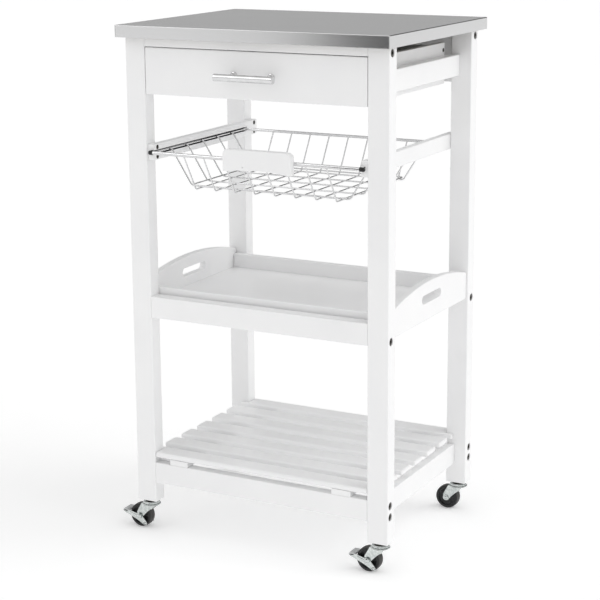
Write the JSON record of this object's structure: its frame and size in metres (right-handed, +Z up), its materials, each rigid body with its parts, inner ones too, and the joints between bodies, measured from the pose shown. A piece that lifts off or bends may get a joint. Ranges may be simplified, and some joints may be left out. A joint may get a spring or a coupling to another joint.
{
  "type": "rolling utility cart",
  "caption": "Rolling kitchen utility cart with a stainless steel worktop, white wooden frame, drawer, pull-out wire basket, serving tray, slatted shelf and swivel casters, some with brakes.",
  "frame": {"origin": "on the floor, below the centre of the worktop", "axes": "+X to the right and +Y to the back, seen from the drawer front; +Z up"},
  "size_m": [0.494, 0.3867, 0.83],
  "materials": {
    "stainless": "brushed",
    "white_paint": "satin white paint on wood",
    "bare_wood": "unpainted",
    "chrome": "polished",
    "zinc": "zinc plated",
    "dark_steel": "black oxide",
    "black_plastic": "satin"
  },
  "bodies": {
    "frame": {"steel_top": "stainless", "top_board": "bare_wood", "leg_front_left": "white_paint", "leg_front_right": "white_paint", "leg_rear_left": "white_paint", "leg_rear_right": "white_paint", "front_top_rail": "white_paint", "rear_top_rail": "white_paint", "rear_panel": "white_paint", "apron_left": "white_paint", "apron_right": "white_paint", "drawer_runners": "bare_wood", "basket_rail_left": "white_paint", "basket_rail_right": "white_paint", "tray_rail_front": "white_paint", "tray_rail_rear": "white_paint", "tray_cleats": "white_paint", "low_rail_front": "white_paint", "low_rail_rear": "white_paint", "low_rail_left": "white_paint", "low_rail_right": "white_paint", "slat_front": "white_paint", "slats_middle": "white_paint", "slat_rear": "white_paint", "battens": "white_paint", "frame_bolts": "dark_steel", "barrel_nuts": "zinc", "rail_screws": "dark_steel", "caster_heads": "zinc"},
    "drawer": {"drawer_front": "white_paint", "drawer_side_left": "white_paint", "drawer_side_right": "white_paint", "drawer_back": "white_paint", "drawer_bottom": "white_paint", "drawer_handle": "chrome", "drawer_screws": "dark_steel"},
    "basket": {"basket_frame": "chrome", "basket_wires": "chrome", "basket_grip": "white_paint", "basket_caps": "black_plastic"},
    "tray": {"tray_floor": "white_paint", "tray_end_left": "white_paint", "tray_end_right": "white_paint", "tray_wall_front": "white_paint", "tray_wall_rear": "white_paint"},
    "caster_front_left": {"fork_front_left": "zinc", "axle_front_left": "zinc"},
    "wheel_front_left": {"wheel_front_left": "black_plastic"},
    "brake_front_left": {"brake_front_left": "zinc"},
    "caster_front_right": {"fork_front_right": "zinc", "axle_front_right": "zinc"},
    "wheel_front_right": {"wheel_front_right": "black_plastic"},
    "brake_front_right": {"brake_front_right": "zinc"},
    "caster_rear_left": {"fork_rear_left": "zinc", "axle_rear_left": "zinc"},
    "wheel_rear_left": {"wheel_rear_left": "black_plastic"},
    "caster_rear_right": {"fork_rear_right": "zinc", "axle_rear_right": "zinc"},
    "wheel_rear_right": {"wheel_rear_right": "black_plastic"}
  },
  "joints": [
    {"name": "drawer_slide", "type": "slide", "parent": "frame", "child": "drawer", "axis": [0, -1, 0], "range_m": [0, 0.22]},
    {"name": "basket_slide", "type": "slide", "parent": "frame", "child": "basket", "axis": [0, -1, 0], "range_m": [0, 0.2]},
    {"name": "tray_slide", "type": "slide", "parent": "frame", "child": "tray", "axis": [1, 0, 0], "range_m": [-0.18, 0.18]},
    {"name": "swivel_front_left", "type": "hinge", "parent": "frame", "child": "caster_front_left", "pos_m": [-0.2095, -0.1555, 0.0435], "axis": [0, 0, 1], "continuous": true},
    {"name": "roll_front_left", "type": "hinge", "parent": "caster_front_left", "child": "wheel_front_left", "pos_m": [-0.2275, -0.1555, 0.02], "axis": [0, 1, 0], "continuous": true},
    {"name": "brake_front_left", "type": "hinge", "parent": "caster_front_left", "child": "brake_front_left", "pos_m": [-0.2275, -0.1555, 0.02], "axis": [0, -1, 0], "range_deg": [0, 18]},
    {"name": "swivel_front_right", "type": "hinge", "parent": "frame", "child": "caster_front_right", "pos_m": [0.2095, -0.1555, 0.0435], "axis": [0, 0, 1], "continuous": true},
    {"name": "roll_front_right", "type": "hinge", "parent": "caster_front_right", "child": "wheel_front_right", "pos_m": [0.1915, -0.1555, 0.02], "axis": [0, 1, 0], "continuous": true},
    {"name": "brake_front_right", "type": "hinge", "parent": "caster_front_right", "child": "brake_front_right", "pos_m": [0.1915, -0.1555, 0.02], "axis": [0, -1, 0], "range_deg": [0, 18]},
    {"name": "swivel_rear_left", "type": "hinge", "parent": "frame", "child": "caster_rear_left", "pos_m": [-0.2095, 0.1525, 0.0435], "axis": [0, 0, 1], "continuous": true},
    {"name": "roll_rear_left", "type": "hinge", "parent": "caster_rear_left", "child": "wheel_rear_left", "pos_m": [-0.2275, 0.1525, 0.02], "axis": [0, 1, 0], "continuous": true},
    {"name": "swivel_rear_right", "type": "hinge", "parent": "frame", "child": "caster_rear_right", "pos_m": [0.2095, 0.1525, 0.0435], "axis": [0, 0, 1], "continuous": true},
    {"name": "roll_rear_right", "type": "hinge", "parent": "caster_rear_right", "child": "wheel_rear_right", "pos_m": [0.1915, 0.1525, 0.02], "axis": [0, 1, 0], "continuous": true}
  ]
}
